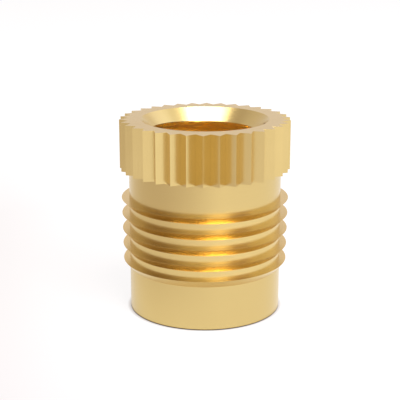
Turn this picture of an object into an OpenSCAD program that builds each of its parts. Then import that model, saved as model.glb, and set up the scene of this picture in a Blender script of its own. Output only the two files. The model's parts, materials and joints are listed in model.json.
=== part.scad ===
/* [Overall] */
// Height from the pilot end to the flat face of the head
insert_h = 12.7; // [11.5:0.1:16]
// Diameter of the plain turned body
body_d = 9.95; // [9.45:0.05:12.45]

/* [Knurled head] */
// Height of the head
head_h = 3.22; // [2:0.02:4]
// How far the tooth crests stand out from the body
head_reach = 0.58; // [0.58:0.02:1]
// Number of straight teeth round the head
teeth = 34; // [24:2:48]
// Depth of a tooth from its crest to its root
tooth_depth = 0.54; // [0.2:0.02:0.56]
// Turn of the first tooth crest from the front, in degrees
tooth_turn = -1.2; // [-7.5:0.1:7.5]

/* [Barbed rings] */
// Number of rings
rings = 5; // [2:1:5]
// Plain neck between the head and the flat shoulder of the first ring
neck_h = 1.95; // [0.6:0.05:2.4]
// Distance from one ring to the next
ring_pitch = 1.035; // [0.835:0.005:1.25]
// How far the first ring's crest stands out from the body
ring_reach = 0.5; // [0.3:0.01:0.6]
// How much less each lower ring stands out than the one above it
ring_step = 0.02; // [0:0.01:0.04]
// Height of the straight sloping flank under each crest
flank_h = 0.5; // [0.5:0.02:0.7]

/* [Screw bore] */
// Nominal diameter of the screw
thread_d = 8; // [6:0.1:8.8]
// Pitch of the screw's thread
thread_pitch = 1.25; // [1:0.05:1.5]
// How much wider the rim of the countersink is than the screw
countersink_clearance = 0.32; // [0.1:0.02:0.8]
// Angle across the countersink
countersink_angle = 90; // [80:5:120]
// How much wider the chamfer at the pilot end is than the screw
exit_clearance = 0.2; // [0:0.1:0.6]

/* [Edges] */
// Broken outer edge at the pilot end
end_break = 0.06; // [0.02:0.02:0.3]

/* [Hidden] */

$fn = 96;
// Share of the pitch by which an internal thread's crests stand in from its roots, on the diameter
thread_share = 1.0825;
// How far a cutter passes the face that it cuts
over = 0.5;

body_r = body_d / 2;
crest_r = body_r + head_reach;
root_r = crest_r - tooth_depth;
head_z = insert_h - head_h;
first_shoulder_z = head_z - neck_h;

minor_r = (thread_d - thread_share * thread_pitch) / 2;
countersink_r = (thread_d + countersink_clearance) / 2;
countersink_slope = tan(countersink_angle / 2);
countersink_z = insert_h - (countersink_r - minor_r) / countersink_slope;
exit_r = (thread_d + exit_clearance) / 2;
exit_h = exit_r - minor_r;

// Centre line of the tooth crest or root numbered i: crests are even and roots are odd
function tooth_point(i) =
    let (r = i % 2 == 0 ? crest_r : root_r)
    let (turn = 270 + tooth_turn + i * 180 / teeth)
    [r * cos(turn), r * sin(turn)];

// One barb, from the foot of its sloping flank out to the sharp crest and in along the flat
// shoulder that stops the insert from being drawn back out
function ring_outline(i) =
    let (reach = ring_reach - i * ring_step)
    let (shoulder_z = first_shoulder_z - i * ring_pitch)
    [
        [body_r, shoulder_z - flank_h],
        [body_r + reach, shoulder_z],
        [body_r, shoulder_z]
    ];

// Half outline of the turned body, from the pilot end up into the head
function body_outline() =
    concat(
        [[0, 0], [body_r - end_break, 0], [body_r, end_break]],
        [for (i = [rings - 1 : -1 : 0]) each ring_outline(i)],
        [[body_r, head_z + over], [0, head_z + over]]
    );

// Half outline of the drilled hole, from below the pilot end to above the head
function bore_outline() =
    [
        [0, -over],
        [exit_r + over, -over],
        [minor_r, exit_h],
        [minor_r, countersink_z],
        [countersink_r + over * countersink_slope, insert_h + over],
        [0, insert_h + over]
    ];

// The pilot end, the barbed rings and the plain neck, turned as one form
module barbed_body() {
    rotate_extrude()
        polygon(body_outline());
}

// The head, with sharp straight teeth from its underside to its face
module knurled_head() {
    translate([0, 0, head_z])
        linear_extrude(head_h)
            polygon([for (i = [0 : 2 * teeth - 1]) tooth_point(i)]);
}

// The countersink, the thread's bore and the chamfer at the pilot end
module screw_bore() {
    rotate_extrude()
        polygon(bore_outline());
}

module insert_body() {
    color([0.83, 0.68, 0.40])
        difference() {
            union() {
                barbed_body();
                knurled_head();
            }
            screw_bore();
        }
}

insert_body();
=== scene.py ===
import json
import math

import bmesh
import bpy
from mathutils import Matrix, Vector


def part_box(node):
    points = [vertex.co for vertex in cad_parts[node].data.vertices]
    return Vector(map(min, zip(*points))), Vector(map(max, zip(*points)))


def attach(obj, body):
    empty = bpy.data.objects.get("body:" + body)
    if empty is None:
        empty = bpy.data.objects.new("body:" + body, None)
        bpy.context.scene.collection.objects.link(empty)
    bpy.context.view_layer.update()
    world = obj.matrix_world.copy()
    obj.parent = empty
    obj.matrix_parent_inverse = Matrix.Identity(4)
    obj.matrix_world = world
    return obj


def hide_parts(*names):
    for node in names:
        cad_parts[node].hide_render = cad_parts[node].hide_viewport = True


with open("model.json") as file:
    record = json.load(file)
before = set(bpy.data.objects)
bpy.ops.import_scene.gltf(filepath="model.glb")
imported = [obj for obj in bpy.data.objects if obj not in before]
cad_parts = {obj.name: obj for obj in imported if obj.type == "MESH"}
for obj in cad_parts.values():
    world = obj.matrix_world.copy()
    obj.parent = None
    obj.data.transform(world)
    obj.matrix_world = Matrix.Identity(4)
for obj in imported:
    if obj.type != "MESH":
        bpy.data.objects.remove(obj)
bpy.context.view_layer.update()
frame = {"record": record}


# The turned blank
# The insert is one piece of brass bar, turned and drilled on a lathe. Its half outline is spun
# round the axis of the hole: pilot end, barbed rings, neck, head, countersink, bore and chamfer.

mm = 0.001
mounts = {mount["name"]: mount for mount in frame["record"]["mounts"]}
insert_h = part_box("insert_body")[1][2]
body_r = mounts["pilot"]["dims"]["r_mm"] * mm
bore_r = mounts["screw_hole"]["dims"]["r_mm"] * mm

head_h = 3.22 * mm
head_reach = 0.58 * mm
crest_r = body_r + head_reach
head_z = insert_h - head_h

rings = 5
neck_h = 1.95 * mm
ring_pitch = 1.035 * mm
ring_reach = 0.5 * mm
ring_step = 0.02 * mm
flank_h = 0.5 * mm
first_shoulder_z = head_z - neck_h

countersink_r = 4.16 * mm
countersink_z = insert_h - (countersink_r - bore_r)
exit_r = 4.1 * mm
end_break = 0.06 * mm

teeth = 34
columns_per_tooth = 8
columns = teeth * columns_per_tooth
tooth_turn = math.radians(-1.2)


def barb(number):
    """One ring: the foot of its flank, its sharp crest and the inside of its flat shoulder."""
    reach = ring_reach - number * ring_step
    shoulder_z = first_shoulder_z - number * ring_pitch
    return [(body_r, shoulder_z - flank_h), (body_r + reach, shoulder_z), (body_r, shoulder_z)]


outline = [
    (bore_r, exit_r - bore_r),
    (exit_r, 0),
    (body_r - end_break, 0),
    (body_r, end_break),
]
for number in reversed(range(rings)):
    outline += barb(number)
outline += [
    (body_r, head_z),
    (crest_r, head_z),
    (crest_r, insert_h),
    (countersink_r, insert_h),
    (bore_r, countersink_z),
]

turned = bmesh.new()
points = [turned.verts.new((0, -radius, height)) for radius, height in outline]
for start, end in zip(points, points[1:] + points[:1]):
    turned.edges.new((start, end))
bmesh.ops.rotate(turned, verts=points, cent=(0, 0, 0), matrix=Matrix.Rotation(tooth_turn, 3, "Z"))
bmesh.ops.spin(
    turned,
    geom=turned.verts[:] + turned.edges[:],
    cent=(0, 0, 0),
    axis=(0, 0, 1),
    dvec=(0, 0, 0),
    angle=math.tau,
    steps=columns,
    use_merge=True,
    use_normal_flip=False,
    use_duplicate=False,
)
bmesh.ops.recalc_face_normals(turned, faces=turned.faces[:])


# The teeth
# Straight sharp teeth are cut all round the head, from its underside to its face. The columns
# of the head's wall are drawn in from the crests to the roots, along each tooth's flat flank.

tooth_depth = 0.54 * mm
root_r = crest_r - tooth_depth
half_tooth = math.pi / teeth
columns_per_flank = columns_per_tooth / 2
found_within = 0.01 * mm


def flank_radius(turn):
    """Radius of the flat flank between a crest and a root, at an angle from the crest."""
    return crest_r * root_r * math.sin(half_tooth) / (
        crest_r * math.sin(turn) + root_r * math.sin(half_tooth - turn)
    )


on_head_wall = [vert for vert in turned.verts if vert.co.xy.length > crest_r - found_within]
by_distance = {}
for vert in on_head_wall:
    turn = math.atan2(vert.co.x, -vert.co.y) - tooth_turn
    column = round(turn / math.tau * columns) % columns_per_tooth
    from_crest = min(column, columns_per_tooth - column)
    by_distance.setdefault(from_crest, []).append(vert)
for from_crest, verts in by_distance.items():
    draw_in = flank_radius(half_tooth * from_crest / columns_per_flank) / crest_r
    bmesh.ops.scale(turned, vec=(draw_in, draw_in, 1), verts=verts)


# The edges
# Every outer edge that a tool leaves sharp is broken very slightly, so that it catches the light.
# The hollow corners, at the roots of the teeth and rings, stay as the tool left them.

edge_break = 0.003 * mm
sharp_from = math.radians(24)
sharp = [
    edge for edge in turned.edges if edge.is_convex and edge.calc_face_angle() > sharp_from
]
bmesh.ops.bevel(
    turned,
    geom=sharp,
    offset=edge_break,
    offset_type="OFFSET",
    segments=2,
    profile=0.5,
    affect="EDGES",
    material=-1,
)
bmesh.ops.recalc_face_normals(turned, faces=turned.faces[:])

insert_mesh = bpy.data.meshes.new("insert")
turned.to_mesh(insert_mesh)
turned.free()
insert = bpy.data.objects.new("insert", insert_mesh)
bpy.context.scene.collection.objects.link(insert)


# The screw thread
# A tap cuts a right-hand M8 thread through the bore. Its groove runs in from the countersink,
# whose lower edge it cuts into, and is swept along the helix and taken out of the blank.

thread_pitch = 1.25 * mm
thread_steps = 96
thread_r = 4 * mm
groove_root_w = thread_pitch / 8
into_bore = 0.05 * mm
groove_inner_r = bore_r - into_bore
groove_flank = math.radians(30)
groove_inner_w = groove_root_w + 2 * (thread_r - groove_inner_r) * math.tan(groove_flank)
run_in_turn = math.radians(76)
clear_of_rim = 7 / 16
thread_turns = 12
turns_below_rim = clear_of_rim + run_in_turn / math.tau + thread_turns - 1
thread_from = countersink_z - thread_pitch * turns_below_rim
smooth_below = math.radians(9)

tap = bmesh.new()
groove = [
    tap.verts.new((radius, 0, thread_from + height))
    for radius, height in (
        (groove_inner_r, -groove_inner_w / 2),
        (thread_r, -groove_root_w / 2),
        (thread_r, groove_root_w / 2),
        (groove_inner_r, groove_inner_w / 2),
    )
]
tap.faces.new(groove)
bmesh.ops.spin(
    tap,
    geom=tap.verts[:] + tap.edges[:] + tap.faces[:],
    cent=(0, 0, 0),
    axis=(0, 0, 1),
    dvec=(0, 0, thread_pitch / thread_steps),
    angle=math.tau * thread_turns,
    steps=thread_steps * thread_turns,
    use_merge=False,
    use_normal_flip=False,
    use_duplicate=False,
)
bmesh.ops.recalc_face_normals(tap, faces=tap.faces[:])
tap_mesh = bpy.data.meshes.new("tap")
tap.to_mesh(tap_mesh)
tap.free()
cutter = bpy.data.objects.new("tap", tap_mesh)
bpy.context.scene.collection.objects.link(cutter)

cut = insert.modifiers.new("thread", "BOOLEAN")
cut.operation = "DIFFERENCE"
cut.solver = "EXACT"
cut.object = cutter
bpy.context.view_layer.update()
tapped_insert = insert.evaluated_get(bpy.context.evaluated_depsgraph_get())
threaded = bpy.data.meshes.new_from_object(tapped_insert)
insert.modifiers.clear()
insert.data = threaded
bpy.data.objects.remove(cutter)
threaded.shade_smooth()
threaded.set_sharp_from_angle(angle=smooth_below)

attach(insert, "root")
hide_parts("insert_body")


# The brass
# Bright turned brass, neither lacquered nor plated, with fine rings from the lathe tool and upright
# marks from the knurling wheel. It is a little duller in patches, from handling. The teeth, the
# rings and the thread are brighter than the plain body: painted light in their shaded hollows.


class Wire:
    """A value in a node tree, so that shader maths reads as plain sums."""

    def __init__(self, tree, socket=None):
        self.tree = tree
        self.socket = socket

    def make(self, kind, settings, inputs, output=0):
        node = self.tree.nodes.new(kind)
        for name, value in settings.items():
            setattr(node, name, value)
        for name, value in inputs.items():
            if isinstance(value, Wire):
                self.tree.links.new(value.socket, node.inputs[name])
            else:
                node.inputs[name].default_value = value
        return Wire(self.tree, node.outputs[output] if node.outputs else None)

    def math(self, operation, *values):
        return self.make("ShaderNodeMath", {"operation": operation}, dict(enumerate(values)))

    def __add__(self, other):
        return self.math("ADD", self, other)

    def __radd__(self, other):
        return self.math("ADD", other, self)

    def __sub__(self, other):
        return self.math("SUBTRACT", self, other)

    def __rsub__(self, other):
        return self.math("SUBTRACT", other, self)

    def __mul__(self, other):
        return self.math("MULTIPLY", self, other)

    def __truediv__(self, other):
        return self.math("DIVIDE", self, other)

    def clamp(self):
        return self.make("ShaderNodeClamp", {}, {"Value": self})

    def mix(self, first, second):
        """The second colour where this value is 1, and the first where it is 0."""
        return self.make(
            "ShaderNodeMix", {"data_type": "RGBA"}, {"Factor": self, 6: first, 7: second}, output=2
        )


# The marks are about a micron deep, and are given as so many to the millimetre.
lathe_marks = 11 / mm
knurl_marks = 16 / mm
knurl_stretch = 0.02
mark_depth = 0.0012 * mm
handling_patches = 0.45 / mm
handling_share = 0.6
marks_share = 0.4
least_roughness = 0.21
added_roughness = 0.08

# Where one tone of the brass or its painted light gives way to the next, and how gradually.
tone_edge = 0.02 * mm
face_depth = 0.02 * mm
face_edge = 0.01 * mm
past_thread = 0.14 * mm
countersink_edge = 0.05 * mm
ring_edge = 0.03 * mm
under_body = 0.05 * mm
# The teeth, rings and thread tones are the plain brass made brighter: painted light in hollows.
bright_brass = (0.67, 0.507, 0.212, 1)
dull_brass = (0.64, 0.478, 0.192, 1)
lit_thread_brass = (0.865, 0.665, 0.262, 1)
lit_teeth_brass = (0.732, 0.56, 0.24, 1)
lit_rings_brass = (0.785, 0.596, 0.252, 1)

brass = bpy.data.materials.new("turned brass")
brass.use_nodes = True
brass.node_tree.nodes.clear()
metal = Wire(brass.node_tree)
place = metal.make("ShaderNodeTexCoord", {}, {}, "Object")
split = metal.make("ShaderNodeSeparateXYZ", {}, {"Vector": place})
across, along, height = (Wire(metal.tree, split.socket.node.outputs[axis]) for axis in "XYZ")
radius = metal.math("SQRT", across * across + along * along)

rings_at = metal.make(
    "ShaderNodeCombineXYZ", {}, {"X": radius * lathe_marks, "Y": height * lathe_marks}
)
turned_marks = metal.make(
    "ShaderNodeTexNoise",
    {"noise_dimensions": "3D"},
    {"Vector": rings_at, "Scale": 1.0, "Detail": 2.0},
)
streaks_at = metal.make(
    "ShaderNodeCombineXYZ",
    {},
    {
        "X": across * knurl_marks,
        "Y": along * knurl_marks,
        "Z": height * knurl_marks * knurl_stretch,
    },
)
knurled_marks = metal.make(
    "ShaderNodeTexNoise",
    {"noise_dimensions": "3D"},
    {"Vector": streaks_at, "Scale": 1.0, "Detail": 2.0},
)
# The teeth take the knurl marks, and a brighter tone that is painted light in their flutes.
in_head = ((height - head_z) / tone_edge).clamp()
in_teeth = ((radius - root_r) / tone_edge).clamp()
on_face = ((height - (insert_h - face_depth)) / face_edge).clamp()
knurled_and_lit = in_head * in_teeth * (1 - on_face)
marks = metal.make("ShaderNodeMix", {}, {"Factor": knurled_and_lit, 2: turned_marks, 3: knurled_marks})

# The thread takes a brighter tone: painted light in the shaded bore.
in_thread = ((thread_r + past_thread - radius) / tone_edge).clamp()
below_countersink = ((countersink_z - height) / countersink_edge).clamp()
lit_thread = in_thread * below_countersink

# The rings take a brighter tone: painted light in the shaded grooves between them.
foot_z = first_shoulder_z - (rings - 1) * ring_pitch - flank_h
above_foot = ((height - foot_z) / ring_edge + 1).clamp()
below_neck = ((first_shoulder_z - height) / ring_edge + 1).clamp()
outside = ((radius - (body_r - under_body)) / tone_edge).clamp()
lit_rings = above_foot * below_neck * outside

handled = metal.make(
    "ShaderNodeTexNoise",
    {"noise_dimensions": "3D"},
    {"Vector": place, "Scale": handling_patches, "Detail": 3.0},
)
bump = metal.make(
    "ShaderNodeBump", {}, {"Height": marks, "Strength": 1.0, "Distance": mark_depth}, "Normal"
)
dullness = (handled * handling_share + marks * marks_share).clamp()
# Here the rings and teeth, and below the thread, get their brighter painted-light tones.
bright = lit_rings.mix(knurled_and_lit.mix(bright_brass, lit_teeth_brass), lit_rings_brass)
shader = metal.make(
    "ShaderNodeBsdfPrincipled",
    {},
    {
        "Base Color": lit_thread.mix(dullness.mix(bright, dull_brass), lit_thread_brass),
        "Metallic": 1.0,
        "Roughness": least_roughness + dullness * added_roughness,
        "Normal": bump,
    },
)
metal.make("ShaderNodeOutputMaterial", {}, {"Surface": shader})
insert.data.materials.clear()
insert.data.materials.append(brass)


# The floor
# A plain sheet of white paper that the insert stands on. Painted shade makes it a little greyer at
# the far left, and a painted shadow runs along the foot of the insert. The camera and the brass see
# the same white. Under the insert there is no glow, only plain paper that shows through the bore.

floor_size = 2.0
right_turn = 62.1
left_turn = -70

# Most of the white is a glow. The darker paper under it takes the lamps' light and the shadow,
# and is a little darker at the left, which is painted shade.
paper_left = (0.1, 0.09, 0.09, 1)
paper_right = (0.13, 0.125, 0.135, 1)
paper_in_bore = (0.8, 0.8, 0.8, 1)
glow_white = (0.86, 0.86, 0.86, 1)
# The far left and the foot of the insert get painted shade and a painted shadow in the glow.
shaded_glow_far_left = (0.56, 0.52, 0.51, 1)
foot_shadow_glow = (0.5, 0.46, 0.42, 1)
no_glow = (0, 0, 0, 1)
foot_shadow_w = 0.25 * mm
left_shade_from = 1 * mm
left_shade_over = 22 * mm


def heading(turn, rise):
    """The way so many degrees round from the front towards the right, and so many degrees up."""
    turn, rise = math.radians(turn), math.radians(rise)
    level = math.cos(rise)
    return Vector((level * math.sin(turn), -level * math.cos(turn), math.sin(rise)))


floor_bm = bmesh.new()
bmesh.ops.create_grid(floor_bm, x_segments=1, y_segments=1, size=floor_size / 2)
floor_mesh = bpy.data.meshes.new("floor")
floor_bm.to_mesh(floor_mesh)
floor_bm.free()
floor = bpy.data.objects.new("floor", floor_mesh)
bpy.context.scene.collection.objects.link(floor)
paper = bpy.data.materials.new("white paper")
paper.use_nodes = True
paper.node_tree.nodes.clear()
sheet = Wire(paper.node_tree)
spot = sheet.make("ShaderNodeTexCoord", {}, {}, "Object")
outward = sheet.make("ShaderNodeVectorMath", {"operation": "NORMALIZE"}, {0: spot}, "Vector")


def lies_towards(turn):
    """How far a spot of the floor lies towards the given way, from -1 to 1."""
    sides = {0: outward, 1: heading(turn, 0)}
    return sheet.make("ShaderNodeVectorMath", {"operation": "DOT_PRODUCT"}, sides, "Value")


from_axis = sheet.make("ShaderNodeVectorMath", {"operation": "LENGTH"}, {0: spot}, "Value")
clearance = from_axis - body_r
# The paper is darker towards the left: painted shade.
shade = (lies_towards(right_turn) * 0.5 + 0.5).mix(paper_left, paper_right)
shade = sheet.math("LESS_THAN", from_axis, exit_r).mix(shade, paper_in_bore)
matt = sheet.make("ShaderNodeBsdfDiffuse", {}, {"Color": shade})

# Painted shade: the glow greys towards the far left, away from the insert.
far_left = lies_towards(left_turn).clamp() * ((clearance - left_shade_from) / left_shade_over).clamp()
white = far_left.mix(glow_white, shaded_glow_far_left)
# Painted shadow: the glow darkens along the foot of the insert.
white = (clearance / foot_shadow_w).clamp().mix(foot_shadow_glow, white)
white = sheet.math("LESS_THAN", from_axis, body_r).mix(white, no_glow)
to_camera = sheet.make("ShaderNodeLightPath", {}, {}, "Is Camera Ray")
mirrored = Wire(sheet.tree, to_camera.socket.node.outputs["Is Glossy Ray"])
through = Wire(sheet.tree, to_camera.socket.node.outputs["Is Transmission Ray"])
paper_glow = sheet.make(
    "ShaderNodeEmission", {}, {"Color": white, "Strength": to_camera + mirrored + through}
)
both = sheet.make("ShaderNodeAddShader", {}, {0: matt, 1: paper_glow})
sheet.make("ShaderNodeOutputMaterial", {}, {"Surface": both})
floor.data.materials.append(paper)


# The studio
# A pale room, brighter at the right than at the left, with a few soft patches. The camera and the
# brass see the same room. One softbox hangs over the head and one in front, a little to the right.

left_wall = (0.68, 0.63, 0.62, 1)
right_wall = (1.06, 1.06, 1.04, 1)
left_skirting = (0.74, 0.69, 0.68, 1)
right_skirting = (1.22, 1.19, 1.2, 1)
skirting_turn = 62
wall_turn = 104
skyline = 0.014
skyline_blur = 0.2

studio = bpy.data.worlds.new("studio")
studio.use_nodes = True
studio.node_tree.nodes.clear()
bpy.context.scene.world = studio
room = Wire(studio.node_tree)
way = room.make("ShaderNodeTexCoord", {}, {}, "Generated")


def towards(turn, rise):
    """How far the view into the room points the given way, from -1 to 1."""
    sides = {0: way, 1: heading(turn, rise)}
    return room.make("ShaderNodeVectorMath", {"operation": "DOT_PRODUCT"}, sides, "Value")


def patch(turn, rise, core, edge):
    """A round soft patch of the room: 1 within the core angle, fading to 0 at the edge angle."""
    core, edge = math.cos(math.radians(core)), math.cos(math.radians(edge))
    return ((towards(turn, rise) - edge) / (core - edge)).clamp()


below = (towards(skirting_turn, 0) * 0.5 + 0.5).mix(left_skirting, right_skirting)
above = (towards(wall_turn, 0) * 0.5 + 0.5).mix(left_wall, right_wall)
walls = ((towards(0, 90) - skyline) / skyline_blur + 0.5).clamp().mix(below, above)
for turn, rise, core, edge, colour in (
    (-71, 36, 9, 42, (0.33, 0.24, 0.2, 1)),
    (126, 38, 11, 21, (1.6, 1.7, 2.0, 1)),
    (51, 21, 12.5, 24.5, (0.56, 0.43, 0.43, 1)),
    (176, 46, 3, 44, (0.92, 0.77, 0.69, 1)),
    (21, 5.5, 3.4, 23.5, (1.95, 1.9, 1.9, 1)),
):
    walls = patch(turn, rise, core, edge).mix(walls, colour)
room_light = room.make("ShaderNodeBackground", {}, {"Color": walls, "Strength": 1.0})
room.make("ShaderNodeOutputWorld", {}, {"Surface": room_light})

lamp_distance = 0.3


def add_softbox(name, turn, rise, width, depth, radiance):
    """A rectangular softbox. Its width and depth are shares of its distance."""
    data = bpy.data.lights.new(name, "AREA")
    data.shape = "RECTANGLE"
    data.size = width * lamp_distance
    data.size_y = depth * lamp_distance
    data.energy = radiance * data.size * data.size_y * math.pi
    softbox = bpy.data.objects.new(name, data)
    outwards = heading(turn, rise)
    sideways = heading(turn + 90, 0)
    axes = Matrix((sideways, outwards.cross(sideways), outwards)).transposed().to_4x4()
    stand = Vector((0, 0, insert_h / 2)) + outwards * lamp_distance
    softbox.matrix_world = Matrix.Translation(stand) @ axes
    bpy.context.scene.collection.objects.link(softbox)


add_softbox("overhead softbox", turn=-4, rise=77, width=1.0, depth=0.3, radiance=7.4)
add_softbox("front softbox", turn=26, rise=56.5, width=0.47, depth=0.62, radiance=14.6)


# The camera
# A long lens, a little above the head, that looks slightly down on the insert. It stands straight
# in front and is aimed a little to the left of the axis.

view_height = math.radians(16.14)
view_distance = 71.47 * mm
turned_about = Vector((0, 0, 6.396 * mm))
aim = Vector((-0.320 * mm, 0, 7.209 * mm))

camera_data = bpy.data.cameras.new("camera")
camera_data.sensor_width = 36
camera_data.lens = 97
camera_data.clip_start = 0.001
camera = bpy.data.objects.new("camera", camera_data)
bpy.context.scene.collection.objects.link(camera)
backwards = Vector((0, -math.cos(view_height), math.sin(view_height)))
camera.location = turned_about + view_distance * backwards
camera.rotation_euler = (aim - camera.location).to_track_quat("-Z", "Y").to_euler()
bpy.context.scene.camera = camera
bpy.context.scene.view_settings.view_transform = "Standard"
# Light still reaches the bore and the hollows between the rings after many reflections.
bpy.context.scene.cycles.glossy_bounces = 12
